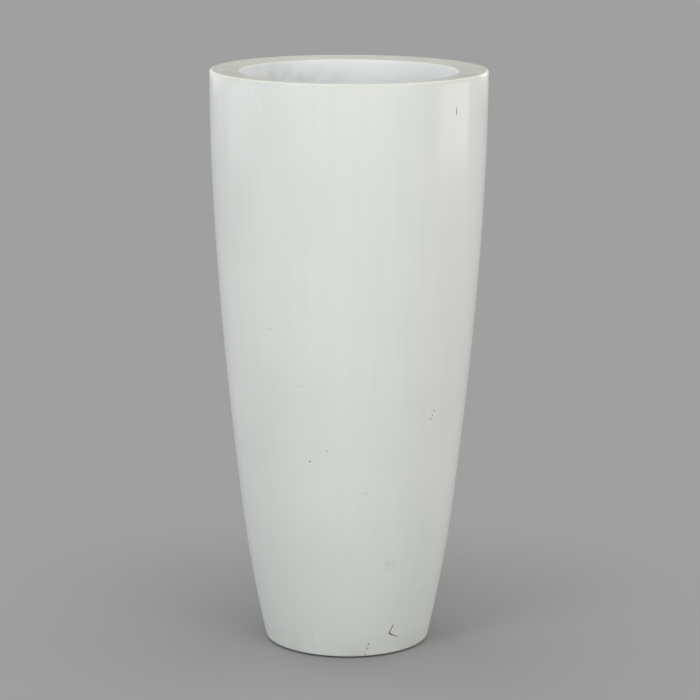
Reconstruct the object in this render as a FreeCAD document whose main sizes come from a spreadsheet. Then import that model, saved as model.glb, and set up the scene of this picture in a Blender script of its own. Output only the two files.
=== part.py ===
import FreeCAD, Part
import os
import re

import Sketcher
from FreeCAD import Vector

# A tall round planter: a glass-fibre shell with a broad flat rim, a stiffened base with a drain, and a
# planting insert that hangs inside the rim and lifts out by two folding wire handles. Millimetres and
# degrees, +Z up, with the origin at the centre of the floor that the planter stands on.

SIZES = {
    # outer shell
    "total_height": 1000,
    "rim_radius": 236.5,
    "shoulder_drop": 10,  # the wall is upright above this
    "upper_join": 740,  # heights at which the wall's arcs meet
    "middle_join": 460,
    "lower_join": 260,
    "upper_lean": 3.21,  # lean of the wall from upright at the joins and at its foot
    "middle_lean": 5.64,
    "lower_lean": 6.65,
    "foot_lean": 12.82,
    "shell_wall": 5,
    "rim_width": 51.5,
    "rim_fall": 3.7,  # the flat rim falls towards the opening
    "rim_outer_round": 4.5,
    "rim_inner_round": 3,
    "lip_depth": 62,
    "lip_draft": 1,
    "corner_cut": 3,  # resin fillets in the corners under the rim
    "bond_line": 0.3,  # adhesive between bonded mouldings
    # ring that carries the insert
    "seat_width": 16,
    "seat_thickness": 5,
    "seat_nose_drop": 9,
    "seat_nose_width": 4,
    "seat_nose_cut": 1.2,
    "seat_upstand": 26,
    "seat_upstand_wall": 4,
    # core under the rim
    "core_thickness": 18,
    # base
    "pad_count": 6,
    "pad_thickness": 3,
    "pad_radius": 16,
    "pad_inset": 33,  # from the foot's edge to a pad's centre
    "pad_chamfer": 0.6,
    "pan_floor": 4,
    "pan_wall": 4,
    "pan_height": 34,
    "board_thickness": 12,
    "board_clearance": 1,
    "drain_radius": 12,
    "bush_wall": 3,
    "bush_flange_width": 8,
    "bush_flange_thickness": 3,
    "bush_clearance": 0.1,
    # drain plug
    "plug_clearance": 0.3,
    "plug_flange_overlap": 5,
    "plug_flange_thickness": 3,
    "plug_neck_radius": 5,
    "plug_neck_height": 8,
    "plug_knob_radius": 10,
    "plug_knob_height": 7,
    "plug_lead": 2,
    # planting insert
    "insert_gap": 2,
    "insert_wall": 2.5,
    "insert_depth": 322,
    "insert_taper": 26,
    "insert_rim_rise": 7,
    "insert_corner_cut": 9,
    "insert_ledge": 24,
    "insert_rib_count": 12,
    "insert_rib_thickness": 3,
    "insert_rib_depth": 8,
    "insert_rib_drop": 40,
    "insert_foot_count": 6,
    "insert_foot_radius": 6,
    "insert_foot_inset": 17,
    "insert_foot_height": 5,
    # drain plate that lies on the insert's ledge
    "plate_thickness": 3,
    "plate_clearance": 1.5,
    "plate_hole_count": 6,
    "plate_hole_radius": 6,
    "plate_hole_inset": 43,
    # lugs and wire handles on the insert
    "lug_inset": 10,  # from the flange's edge to the handle's axis
    "lug_half_span": 54,
    "lug_thickness": 8,
    "lug_base_width": 17,
    "lug_top_width": 10,
    "lug_axis_height": 5.5,
    "lug_crown": 6,
    "wire_radius": 3,
    "pin_clearance": 0.1,
    "pin_end": 2,
    "handle_side_gap": 1,
    "handle_bend": 6,
    "handle_corner": 13,
    "handle_reach": 62,
}

FUNCTIONS = ("cos", "sin", "tan", "sqrt")

# Places that several pieces share, as expressions in the sizes above
RIM_INNER = "(rim_radius - rim_width)"
LIP_BOTTOM = "(total_height - rim_fall - lip_depth)"
LIP_FACE = f"({RIM_INNER} - lip_draft)"
HEIGHTS = ("(total_height - shoulder_drop)", "upper_join", "middle_join", "lower_join", "pad_thickness")
LEANS = ("0", "upper_lean", "middle_lean", "lower_lean", "foot_lean")
FOOT = len(HEIGHTS) - 1
SPANS = [f"({above} - {below})" for above, below in zip(HEIGHTS, HEIGHTS[1:])]
TAPERS = [f"{span} * tan(({high} + {low}) / 2)" for span, high, low in zip(SPANS, LEANS, LEANS[1:])]
BASE_RADIUS = f"(rim_radius - {' - '.join(TAPERS)})"
FOOT_EDGE = "cos(foot_lean)"
SEAT_INNER = f"({LIP_FACE} - seat_width)"
PAN_TOP = "(pad_thickness + pan_height)"
BOARD_BOTTOM = "(pad_thickness + pan_floor)"
BOARD_TOP = f"({BOARD_BOTTOM} + board_thickness)"
BUSH_OUTER = "(drain_radius + bush_wall)"
BUSH_TOP = f"({BOARD_TOP} + bush_flange_thickness)"
INSERT_OUTER = f"({SEAT_INNER} - insert_gap)"
INSERT_BASE = f"({INSERT_OUTER} - insert_taper)"
INSERT_BOTTOM = f"({LIP_BOTTOM} - insert_depth)"
LEDGE_INNER = f"({INSERT_BASE} - insert_ledge)"
LEDGE_CORNER = f"({INSERT_BASE} - insert_wall - insert_corner_cut)"
FLANGE_OUTER = f"({LIP_FACE} - insert_gap)"
FLANGE_TOP = f"({LIP_BOTTOM} + insert_wall)"
LUG_RING = f"({FLANGE_OUTER} - lug_inset)"
AXIS_ACROSS = f"sqrt({LUG_RING} * {LUG_RING} - lug_half_span * lug_half_span)"
AXIS_UP = f"({FLANGE_TOP} + lug_axis_height)"

document = FreeCAD.newDocument("tall_planter")
sheet = document.addObject("Spreadsheet::Sheet", "Sizes")
for row, (word, size) in enumerate(SIZES.items(), start=1):
    sheet.set(f"A{row}", word)
    sheet.set(f"B{row}", str(size))
    sheet.setAlias(f"B{row}", word)
document.recompute()
nodes = []


def bound(text):
    """An expression in size words, with each word read from the sheet."""
    return re.sub(r"[a-z][a-z_]+", lambda m: m[0] if m[0] in FUNCTIONS else "Sizes." + m[0], text)


def worth(text):
    """What an expression in size words comes to."""
    value = sheet.evalExpression(bound(text))
    return float(getattr(value, "Value", value))


def underside(radius):
    """Height of the flat rim's underside at a radius: the rim falls evenly towards the opening."""
    return f"(total_height - shell_wall - rim_fall * (rim_radius - ({radius})) / rim_width)"


# Sketching


def new_body(name, is_node=True):
    body = document.addObject("PartDesign::Body", name)
    body.Label = name
    if is_node:
        nodes.append(body)
    return body


def origin_feature(body, role):
    return next(feature for feature in body.Origin.OriginFeatures if feature.Role == role)


def new_sketch(body, name, plane="XZ_Plane", offset=None):
    """A sketch on one of its body's own planes, moved along the plane's normal by an expression."""
    sketch = body.newObject("Sketcher::SketchObject", f"{body.Name}_{name}")
    sketch.AttachmentSupport = [(origin_feature(body, plane), "")]
    sketch.MapMode = "FlatFace"
    if offset:
        sketch.setExpression("AttachmentOffset.Base.z", bound(offset))
    return sketch


def drive(sketch, kind, text, *where):
    """Adds a measured constraint and binds it to the sheet."""
    index = sketch.addConstraint(Sketcher.Constraint(kind, *where, abs(worth(text))))
    sketch.setExpression(f"Constraints[{index}]", bound(text))


def pin_point(sketch, shape, end, across, up):
    """Holds a point of the sketch at its distances from the sketch's two axes."""
    for kind, axis, text in (("DistanceX", -2, across), ("DistanceY", -1, up)):
        if text == "0":
            sketch.addConstraint(Sketcher.Constraint("PointOnObject", shape, end, axis))
        elif worth(text) > 0:
            drive(sketch, kind, text, -1, 1, shape, end)
        else:
            drive(sketch, kind, f"-({text})", shape, end, -1, 1)


def spot(across, up):
    return Vector(worth(across), worth(up), 0)


def add_line(sketch, start, finish):
    shape = sketch.addGeometry(Part.LineSegment(spot(*start), spot(*finish)))
    return shape, 1, 2


def add_arc(sketch, start, finish, radius, turn):
    """An arc of up to a quarter turn: turn is 1 where it runs counter-clockwise and -1 where clockwise."""
    near, far, reach = spot(*start), spot(*finish), worth(radius)
    middle, chord = (near + far) * 0.5, far - near
    rise = max(reach**2 - chord.Length**2 / 4, 0) ** 0.5
    centre = middle + Vector(-chord.y, chord.x, 0).normalize() * rise * turn
    first, last = (near, far) if turn > 0 else (far, near)
    angles = [Vector(1, 0, 0).getAngle(p - centre) * (1 if p.y >= centre.y else -1) for p in (first, last)]
    circle = Part.Circle(centre, Vector(0, 0, 1), reach)
    shape = sketch.addGeometry(Part.ArcOfCircle(circle, *angles))
    drive(sketch, "Radius", radius, shape)
    return (shape, 1, 2) if turn > 0 else (shape, 2, 1)


def trace(sketch, start, *steps, closed=True):
    """Runs from start through the steps. A step is (kind, finish), with a radius and a turn for an arc, and
    with a radius for a line that ends in a rounded corner. A closed outline returns to start."""
    here, joints, corners = start, [], []
    for kind, finish, *details in steps:
        if kind == "arc":
            made = add_arc(sketch, here, finish, *details)
        else:
            made = add_line(sketch, here, finish)
            corners += [(made, radius) for radius in details]
        pin_point(sketch, made[0], made[1], *here)
        joints.append(made)
        here = finish
    if closed:
        joints.append(add_line(sketch, here, start))
        pin_point(sketch, joints[-1][0], 1, *here)
    else:
        pin_point(sketch, joints[-1][0], joints[-1][2], *here)
    for (shape, _, end), (following, begin, _) in zip(joints, joints[1:] + joints[:1] * closed):
        sketch.addConstraint(Sketcher.Constraint("Coincident", shape, end, following, begin))
    for (shape, _, end), radius in corners:
        round_corner(sketch, shape, end, radius)


def round_corner(sketch, shape, end, radius):
    """Rounds the corner at a line's end, and leaves the corner itself as a held point."""
    sketch.fillet(shape, end, worth(radius), True, True)
    arcs = [number for number, made in enumerate(sketch.Geometry) if isinstance(made, Part.ArcOfCircle)]
    drive(sketch, "Radius", radius, arcs[-1])


def polygon(sketch, *places):
    """A closed outline of straight lines. Each place but the first may carry a radius that rounds it."""
    trace(sketch, places[0], *[("line", place[:2], *place[2:]) for place in places[1:]])


def circle(sketch, across, up, radius):
    shape = sketch.addGeometry(Part.Circle(spot(across, up), Vector(0, 0, 1), worth(radius)))
    drive(sketch, "Radius", radius, shape)
    pin_point(sketch, shape, 3, across, up)


# Features


def feature(body, kind, name, **settings):
    made = body.newObject(f"PartDesign::{kind}", f"{body.Name}_{name}")
    for setting, value in settings.items():
        setattr(made, setting, value)
    body.Tip = made
    return made


def revolve(body, sketch):
    feature(body, "Revolution", "turned", Profile=sketch, ReferenceAxis=(sketch, ["V_Axis"]), Angle=360)


def pad(body, sketch, name, length, both_ways=False):
    made = feature(body, "Pad", name, Profile=sketch, Midplane=both_ways)
    made.setExpression("Length", bound(length))
    return made


def repeat_round(body, original, count):
    axis = (origin_feature(body, "Z_Axis"), [""])
    made = feature(body, "PolarPattern", f"{original.Name}_ring", Originals=[original], Axis=axis, Angle=360)
    made.setExpression("Occurrences", bound(count))
    return made


def rings_at(body, radius, up):
    """Names of the body's round edges of one radius at one height."""
    document.recompute()
    found = []
    for number, edge in enumerate(body.Shape.Edges, start=1):
        if not isinstance(edge.Curve, Part.Circle):
            continue
        same_size = abs(edge.Curve.Radius - worth(radius)) < 0.01
        if same_size and abs(edge.Curve.Center.z - worth(up)) < 0.01:
            found.append(f"Edge{number}")
    return found


def chamfer_ring(body, name, size, radius, up):
    """Chamfers the body's round edge of one radius at one height."""
    made = feature(body, "Chamfer", name, Base=(body.Tip, rings_at(body, radius, up)))
    made.setExpression("Size", bound(size))


# Outer shell and what is bonded into it


def wall_place(number, inset):
    """Where the wall's arcs end, counted from the shoulder down, set in square to the wall."""
    radius = " - ".join(["rim_radius", *TAPERS[:number]])
    lean = LEANS[number]
    return f"{radius} - ({inset}) * cos({lean})", f"{HEIGHTS[number]} + ({inset}) * sin({lean})"


def wall_radius(number, inset):
    """Radius of one of the wall's arcs, from the shoulder down: each runs on smoothly from the last."""
    return f"{SPANS[number]} / (sin({LEANS[number + 1]}) - sin({LEANS[number]})) - ({inset})"


def foot_place(inset):
    """Where the set-in wall, run straight on, meets the plane of the foot."""
    return f"{BASE_RADIUS} - ({inset}) / {FOOT_EDGE}", "pad_thickness"


def wall_up(inset):
    """Steps up the wall's arcs, from its foot."""
    start = [("line", wall_place(FOOT, inset))] if inset != "0" else []
    return start + [("arc", wall_place(n, inset), wall_radius(n, inset), 1) for n in reversed(range(FOOT))]


def wall_down(inset):
    arcs = [("arc", wall_place(n + 1, inset), wall_radius(n, inset), -1) for n in range(FOOT)]
    return arcs + [("line", foot_place(inset))]


def make_outer_shell():
    body = new_body("outer_shell")
    sketch = new_sketch(body, "section")
    wall_inside = "rim_radius - shell_wall"
    wall_cut = f"{wall_inside} - corner_cut"
    lip_back = f"{RIM_INNER} + shell_wall"
    lip_cut = f"{lip_back} + corner_cut"
    trace(
        sketch,
        wall_place(FOOT, "0"),
        *wall_up("0"),
        ("line", ("rim_radius", "total_height"), "rim_outer_round"),
        ("line", (RIM_INNER, "total_height - rim_fall"), "rim_inner_round"),
        ("line", (LIP_FACE, LIP_BOTTOM)),
        ("line", (f"{LIP_FACE} + shell_wall", LIP_BOTTOM)),
        ("line", (lip_back, f"{underside(lip_back)} - corner_cut")),
        ("line", (lip_cut, underside(lip_cut))),
        ("line", (wall_cut, underside(wall_cut))),
        ("line", (wall_inside, f"{underside(wall_inside)} - corner_cut")),
        ("line", wall_place(0, "shell_wall")),
        *wall_down("shell_wall"),
    )
    revolve(body, sketch)


def make_insert_seat_ring():
    """An angle ring bonded behind the rim's lip, with a ledge for the insert and a turned-down nose."""
    body = new_body("insert_seat_ring")
    sketch = new_sketch(body, "section")
    upstand_inner = f"{RIM_INNER} + shell_wall + bond_line"
    upstand_outer = f"{upstand_inner} + seat_upstand_wall"
    upstand_top = f"{LIP_BOTTOM} + seat_upstand"
    ledge_bottom = f"{LIP_BOTTOM} - seat_thickness"
    nose_back = f"{SEAT_INNER} + seat_nose_width"
    nose_bottom = f"{ledge_bottom} - seat_nose_drop"
    polygon(
        sketch,
        (SEAT_INNER, LIP_BOTTOM),
        (upstand_inner, LIP_BOTTOM),
        (upstand_inner, upstand_top),
        (upstand_outer, upstand_top),
        (upstand_outer, ledge_bottom),
        (nose_back, ledge_bottom),
        (nose_back, nose_bottom),
        (f"{SEAT_INNER} + seat_nose_cut", nose_bottom),
        (SEAT_INNER, f"{nose_bottom} + seat_nose_cut"),
    )
    revolve(body, sketch)


def make_rim_core_ring():
    """A plywood ring glassed in under the flat rim, with its top corners cut back from the resin fillets."""
    body = new_body("rim_core_ring")
    sketch = new_sketch(body, "section")
    inner = f"{RIM_INNER} + shell_wall + bond_line"
    outer = "rim_radius - shell_wall - bond_line"
    cut_inner, cut_outer = f"{inner} + corner_cut", f"{outer} - corner_cut"
    core_bottom = f"({underside(RIM_INNER)} - bond_line - core_thickness)"
    polygon(
        sketch,
        (inner, core_bottom),
        (inner, f"{underside(inner)} - bond_line - corner_cut"),
        (cut_inner, f"{underside(cut_inner)} - bond_line"),
        (cut_outer, f"{underside(cut_outer)} - bond_line"),
        (outer, f"{underside(outer)} - bond_line - corner_cut"),
        (outer, core_bottom),
    )
    revolve(body, sketch)


def wall_plug(name, inset, low, high):
    """A solid that fills the shell between two heights, set in from the outer face."""
    filler = new_body(f"{name}_filler", is_node=False)
    sketch = new_sketch(filler, "section")
    middle = [("line", ("0", HEIGHTS[0])), ("line", ("0", "pad_thickness"))]
    trace(sketch, foot_place(inset), *wall_up(inset), *middle)
    revolve(filler, sketch)
    slab = document.addObject("Part::Cylinder", f"{name}_slab")
    slab.setExpression("Radius", bound("rim_radius"))
    slab.setExpression("Height", bound(f"{high} - ({low})"))
    slab.setExpression("Placement.Base.z", bound(low))
    slice_of = document.addObject("Part::Common", name)
    slice_of.Base, slice_of.Tool = filler, slab
    return slice_of


def make_base_pan():
    """A moulded dish bonded inside the shell's foot, with a hole for the drain bush."""
    blank = wall_plug("pan_blank", "shell_wall + bond_line", "pad_thickness", PAN_TOP)
    inset = "shell_wall + bond_line + pan_wall"
    hollow = wall_plug("pan_hollow", inset, BOARD_BOTTOM, f"{PAN_TOP} + pan_wall")
    dish = document.addObject("Part::Cut", "pan_dish")
    dish.Base, dish.Tool = blank, hollow
    hole = document.addObject("Part::Cylinder", "pan_drain_hole")
    hole.setExpression("Radius", bound(f"{BUSH_OUTER} + bush_clearance"))
    hole.setExpression("Height", bound(BOARD_TOP))
    pan = document.addObject("Part::Cut", "base_pan")
    pan.Base, pan.Tool = dish, hole
    pan.Label = "base_pan"
    nodes.append(pan)


def make_base_board():
    """A plywood disc on the pan's floor that stops the base from flexing."""
    body = new_body("base_board")
    sketch = new_sketch(body, "section")
    edge = f"{BASE_RADIUS} - (shell_wall + bond_line + pan_wall) / {FOOT_EDGE} - board_clearance"
    bore = f"{BUSH_OUTER} + bush_clearance"
    polygon(sketch, (bore, BOARD_BOTTOM), (edge, BOARD_BOTTOM), (edge, BOARD_TOP), (bore, BOARD_TOP))
    revolve(body, sketch)


def make_drain_bush():
    """A flanged bush through board and pan, flush with the pan's underside."""
    body = new_body("drain_bush")
    sketch = new_sketch(body, "section")
    flange_edge = f"{BUSH_OUTER} + bush_flange_width"
    polygon(
        sketch,
        ("drain_radius", "pad_thickness"),
        (BUSH_OUTER, "pad_thickness"),
        (BUSH_OUTER, BOARD_TOP),
        (flange_edge, BOARD_TOP),
        (flange_edge, BUSH_TOP),
        ("drain_radius", BUSH_TOP),
    )
    revolve(body, sketch)


def make_drain_plug():
    """A rubber bung that drops into the bush from inside, with a knob to pull it by."""
    body = new_body("drain_plug")
    sketch = new_sketch(body, "section")
    stem = "drain_radius - plug_clearance"
    flange_edge = "drain_radius + plug_flange_overlap"
    flange_top = f"{BUSH_TOP} + plug_flange_thickness"
    neck_top = f"{flange_top} + plug_neck_height"
    knob_top = f"{neck_top} + plug_knob_height"
    trace(
        sketch,
        ("0", "pad_thickness + bond_line"),
        ("line", (f"{stem} - plug_lead", "pad_thickness + bond_line")),
        ("line", (stem, "pad_thickness + bond_line + plug_lead")),
        ("line", (stem, BUSH_TOP)),
        ("line", (flange_edge, BUSH_TOP)),
        ("line", (flange_edge, flange_top)),
        ("line", ("plug_neck_radius", flange_top)),
        ("line", ("plug_neck_radius", neck_top)),
        ("line", ("plug_knob_radius", neck_top)),
        ("line", ("plug_knob_radius", f"{knob_top} - plug_knob_height / 2")),
        ("line", ("plug_neck_radius", knob_top)),
        ("line", ("0", knob_top)),
    )
    revolve(body, sketch)


def make_foot_pad(number):
    """One of the round rubber pads under the pan, spaced evenly on a ring."""
    body = new_body(f"foot_pad_{number}")
    sketch = new_sketch(body, "outline", "XY_Plane")
    turn = (number - 0.5) * 360 / worth("pad_count")
    ring = f"({BASE_RADIUS} - pad_inset)"
    centre = (f"{ring} * cos({turn})", f"{ring} * sin({turn})")
    if abs(worth(centre[0])) < 0.001:
        centre = ("0", centre[1])
    circle(sketch, *centre, "pad_radius")
    pad(body, sketch, "disc", "pad_thickness")
    chamfer_ring(body, "lower_edge", "pad_chamfer", "pad_radius", "0")


# Planting insert and its handles


def insert_wall_at(drop):
    """Outer radius of the insert's tapered wall, a drop below the seat."""
    return f"({INSERT_OUTER} - insert_taper * ({drop}) / insert_depth)"


def make_planting_insert():
    """A tapered pot, open at the bottom inside a ledge, with a flange that rests on the shell's ring."""
    body = new_body("planting_insert")
    sketch = new_sketch(body, "section")
    floor_top = f"{INSERT_BOTTOM} + insert_wall"
    rise_top = f"{FLANGE_TOP} + insert_rim_rise"
    cut_top = "insert_depth - insert_corner_cut"
    polygon(
        sketch,
        (LEDGE_INNER, INSERT_BOTTOM),
        (f"{insert_wall_at(cut_top)} - insert_corner_cut", INSERT_BOTTOM),
        (insert_wall_at(cut_top), f"{LIP_BOTTOM} - ({cut_top})"),
        (INSERT_OUTER, LIP_BOTTOM),
        (FLANGE_OUTER, LIP_BOTTOM),
        (FLANGE_OUTER, rise_top),
        (f"{FLANGE_OUTER} - insert_wall", rise_top),
        (f"{FLANGE_OUTER} - insert_wall", FLANGE_TOP),
        (f"{INSERT_OUTER} - insert_wall", FLANGE_TOP),
        (f"{insert_wall_at(cut_top)} - insert_wall", f"{floor_top} + insert_corner_cut"),
        (LEDGE_CORNER, floor_top),
        (LEDGE_INNER, floor_top),
    )
    revolve(body, sketch)
    make_insert_ribs(body)
    make_insert_feet(body)
    make_lugs(body)


def make_insert_ribs(body):
    """Upright ribs outside the tapered wall. They deepen downwards, so that they pass through the seat."""
    sketch = new_sketch(body, "rib")
    start_drop, end_drop = "insert_rib_drop", "insert_depth - insert_corner_cut"
    half_wall = "insert_wall / 2"
    polygon(
        sketch,
        (f"{insert_wall_at(start_drop)} - {half_wall}", f"{LIP_BOTTOM} - {start_drop}"),
        (f"{insert_wall_at(end_drop)} - {half_wall}", f"{LIP_BOTTOM} - ({end_drop})"),
        (f"{insert_wall_at(end_drop)} + insert_rib_depth", f"{LIP_BOTTOM} - ({end_drop})"),
    )
    rib = pad(body, sketch, "rib_pad", "insert_rib_thickness", both_ways=True)
    repeat_round(body, rib, "insert_rib_count")


def make_insert_feet(body):
    """Feet under the ledge, on which the insert stands when it is set down."""
    sketch = new_sketch(body, "foot", "XY_Plane", offset=f"{INSERT_BOTTOM} - insert_foot_height")
    circle(sketch, "0", f"{INSERT_BASE} - insert_foot_inset", "insert_foot_radius")
    foot = pad(body, sketch, "foot_pad", "insert_foot_height + insert_wall / 2")
    repeat_round(body, foot, "insert_foot_count")


def make_drain_plate():
    """A round plate with drain holes, which lies on the insert's ledge under the soil."""
    body = new_body("drain_plate")
    plate_height = f"{INSERT_BOTTOM} + insert_wall"
    outline = new_sketch(body, "outline", "XY_Plane", offset=plate_height)
    edge = f"{LEDGE_CORNER} - plate_clearance"
    circle(outline, "0", "0", edge)
    pad(body, outline, "disc", "plate_thickness")
    hole_ring = f"{edge} - plate_hole_inset"
    for name, across, count in (("ring_hole", hole_ring, "plate_hole_count"), ("middle_hole", "0", None)):
        sketch = new_sketch(body, name, "XY_Plane", offset=plate_height)
        circle(sketch, across, "0", "plate_hole_radius")
        hole = feature(body, "Pocket", f"{name}_cut", Profile=sketch, Type="ThroughAll", Midplane=True)
        if count:
            repeat_round(body, hole, count)


def make_lugs(body):
    """Two pairs of lugs on the insert's flange, bored for the wire handles."""
    sketch = new_sketch(body, "lugs", "XZ_Plane", offset="-lug_half_span")
    lug_foot = f"{FLANGE_TOP} - insert_wall / 2"
    crown = f"{AXIS_UP} + lug_crown"
    for side in ("", "-"):
        middle = f"{side}{AXIS_ACROSS}"
        polygon(
            sketch,
            (f"{middle} - lug_base_width / 2", lug_foot),
            (f"{middle} + lug_base_width / 2", lug_foot),
            (f"{middle} + lug_top_width / 2", crown),
            (f"{middle} - lug_top_width / 2", crown),
        )
        circle(sketch, middle, AXIS_UP, "wire_radius + pin_clearance")
    lugs = pad(body, sketch, "lug_pair", "lug_thickness", both_ways=True)
    mirror = (origin_feature(body, "XZ_Plane"), [""])
    feature(body, "Mirrored", "lug_pair_opposite", Originals=[lugs], MirrorPlane=mirror)


def make_lift_handle(name, side):
    """A wire handle folded flat towards the middle, with its ends turned outwards into the lugs."""
    body = new_body(name)
    path = new_sketch(body, "path", "XY_Plane", offset=AXIS_UP)
    turn = 1 if side == "" else -1
    pin_tip = "lug_half_span + lug_thickness / 2 + pin_end"
    bend_start = "lug_half_span - lug_thickness / 2 - handle_side_gap"
    leg = f"({bend_start} - handle_bend)"
    axis = f"{side}{AXIS_ACROSS}"
    inward = "-" if side == "" else "+"
    grip = f"{axis} {inward} handle_reach"
    corner = f"{grip} {'+' if inward == '-' else '-'} handle_corner"
    bend = f"{axis} {inward} handle_bend"
    trace(
        path,
        (axis, pin_tip),
        ("line", (axis, bend_start)),
        ("arc", (bend, leg), "handle_bend", -turn),
        ("line", (corner, leg)),
        ("arc", (grip, f"{leg} - handle_corner"), "handle_corner", turn),
        ("line", (grip, f"-({leg} - handle_corner)")),
        ("arc", (corner, f"-{leg}"), "handle_corner", turn),
        ("line", (bend, f"-{leg}")),
        ("arc", (axis, f"-({bend_start})"), "handle_bend", -turn),
        ("line", (axis, f"-({pin_tip})")),
        closed=False,
    )
    wire = new_sketch(body, "wire", "XZ_Plane", offset=f"-({pin_tip})")
    circle(wire, axis, AXIS_UP, "wire_radius")
    document.recompute()
    edges = [f"Edge{number}" for number in range(1, len(path.Shape.Edges) + 1)]
    feature(body, "AdditivePipe", "bent_wire", Profile=wire, Spine=(path, edges))


make_outer_shell()
make_insert_seat_ring()
make_rim_core_ring()
make_base_pan()
make_base_board()
make_drain_bush()
make_drain_plug()
for pad_number in range(1, int(worth("pad_count")) + 1):
    make_foot_pad(pad_number)
make_planting_insert()
make_drain_plate()
make_lift_handle("lift_handle_right", "")
make_lift_handle("lift_handle_left", "-")
document.recompute()

failed = [item.Label for item in document.Objects if {"Invalid", "Error"} & set(item.State)]
assert not failed, f"failed: {failed}"
for node in nodes:
    assert not node.Shape.isNull() and node.Shape.isValid(), f"bad shape: {node.Label}"
    assert len(node.Shape.Solids) == 1, f"not one solid: {node.Label}"
os.makedirs("parts", exist_ok=True)
for node in nodes:
    node.Shape.exportStep(f"parts/{node.Label}.step")
    box = node.Shape.BoundBox
    print(f"{node.Label}: {node.Shape.Volume / 1000:.1f} cm3, z {box.ZMin:.1f} to {box.ZMax:.1f}")
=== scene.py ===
# %% [markdown]
# # A tall white planter
# The object is a round glass-fibre planter, one metre high. Its shell is laid up by hand in a mould and
# comes out with a glossy white skin, the gelcoat. Under the broad flat rim a dark plastic insert for the
# plant hangs on a ring, and two folding wire handles lift it out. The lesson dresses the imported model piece
# by piece, in the order of the parts.

# %% Load the frame
import math

import bmesh
import bpy
from mathutils import Matrix, Vector


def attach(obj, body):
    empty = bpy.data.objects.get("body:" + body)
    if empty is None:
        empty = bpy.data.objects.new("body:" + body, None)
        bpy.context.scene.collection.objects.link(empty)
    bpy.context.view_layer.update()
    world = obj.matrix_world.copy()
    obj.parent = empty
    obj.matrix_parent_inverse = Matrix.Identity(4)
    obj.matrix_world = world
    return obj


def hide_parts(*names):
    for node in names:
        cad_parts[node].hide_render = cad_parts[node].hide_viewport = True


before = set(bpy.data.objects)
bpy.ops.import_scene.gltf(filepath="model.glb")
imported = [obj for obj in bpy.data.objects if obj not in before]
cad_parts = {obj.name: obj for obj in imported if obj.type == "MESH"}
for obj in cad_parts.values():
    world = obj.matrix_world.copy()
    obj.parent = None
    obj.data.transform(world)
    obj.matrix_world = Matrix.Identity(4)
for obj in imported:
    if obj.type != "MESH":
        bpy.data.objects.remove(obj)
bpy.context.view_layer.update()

MM = 0.001

# %% [markdown]
# ## Camera
# A photograph of a product is taken from a few metres away with a long lens, so that upright sides stay
# nearly upright. The place, tilt and lens below come from fitting the rim's ellipse, the two sides and the
# foot. The small roll is the photographer's: the planter leans a quarter of a degree to the right in the
# picture.

# %% Camera
PICTURE = 700
SENSOR = 36
LENS_IN_PIXELS = 2698
CAMERA_PLACE = (0, -4.572, 1.490)  # metres, straight in front of the planter
TILT_DOWN, ROLL = 0.2107, 0.0041  # radians
SIDE_SHIFT = 0.0029  # a share of the picture's width


def put(name, data):
    """A new object in the scene."""
    made = bpy.data.objects.new(name, data)
    bpy.context.scene.collection.objects.link(made)
    return made


camera_data = bpy.data.cameras.new("camera")
camera_data.sensor_width = SENSOR
camera_data.lens = LENS_IN_PIXELS / PICTURE * SENSOR
camera_data.shift_x = SIDE_SHIFT
camera_data.clip_end = 200
camera = put("camera", camera_data)
camera.matrix_world = (
    Matrix.Translation(CAMERA_PLACE)
    @ Matrix.Rotation(math.pi / 2 - TILT_DOWN, 4, "X")
    @ Matrix.Rotation(ROLL, 4, "Z")
)
bpy.context.scene.camera = camera
print("lens", round(camera_data.lens, 1), "mm")

# %% [markdown]
# ## Floor and light
# The planter stands on a plain grey studio floor that runs on past the horizon. Near the planter the floor
# is lit and takes its shadow. Farther off it turns into an even grey for camera and mirror rays, as paper
# lit on its own would be. Gloss shows its lamps, so the eight lamps are broad soft panels: cooler on the
# left, warmer on the right, two behind and one above.

# %% A short way to make nodes
def add_node(tree, kind, values=(), **settings):
    """Makes a node. Values go to its sockets by name or number: sockets are linked, all else is set."""
    node = tree.nodes.new(kind)
    for setting, value in settings.items():
        setattr(node, setting, value)
    for name, value in dict(values).items():
        if isinstance(value, bpy.types.NodeSocket):
            tree.links.new(value, node.inputs[name])
        else:
            node.inputs[name].default_value = value
    return node


def new_finish(name):
    """A material with one Principled shader, its tree, its shader and the object's coordinates."""
    finish = bpy.data.materials.new(name)
    finish.use_nodes = True
    tree = finish.node_tree
    place = add_node(tree, "ShaderNodeTexCoord").outputs["Object"]
    return finish, tree, tree.nodes["Principled BSDF"], place


def maths(tree, how, first, second, **settings):
    """The result of a maths node on two values."""
    return add_node(tree, "ShaderNodeMath", {0: first, 1: second}, operation=how, **settings).outputs[0]


def vector_maths(tree, how, first, second=None, by=None):
    """The result of a vector maths node: a number for a length, distance or dot product."""
    given = ((0, first), (1, second), ("Scale", by))
    values = {key: value for key, value in given if value is not None}
    node = add_node(tree, "ShaderNodeVectorMath", values, operation=how)
    return node.outputs["Value" if how in ("LENGTH", "DISTANCE", "DOT_PRODUCT") else "Vector"]


def ramp(value, low, high, to_low=0.0, to_high=1.0, smooth=True):
    """Maps a value from one range to another, clamped."""
    return add_node(
        tree,
        "ShaderNodeMapRange",
        {"Value": value, "From Min": low, "From Max": high, "To Min": to_low, "To Max": to_high},
        interpolation_type="SMOOTHSTEP" if smooth else "LINEAR",
    ).outputs[0]


# %% Floor
FLOOR_GREY = 0.352  # the tone that the picture's background has
FLOOR_PAINT = 0.29  # the floor's own colour, lit by the lamps
FLOOR_REACH = 40  # metres from the planter to the floor's edges
EVEN_GREY = (FLOOR_GREY, FLOOR_GREY, FLOOR_GREY, 1)

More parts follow.
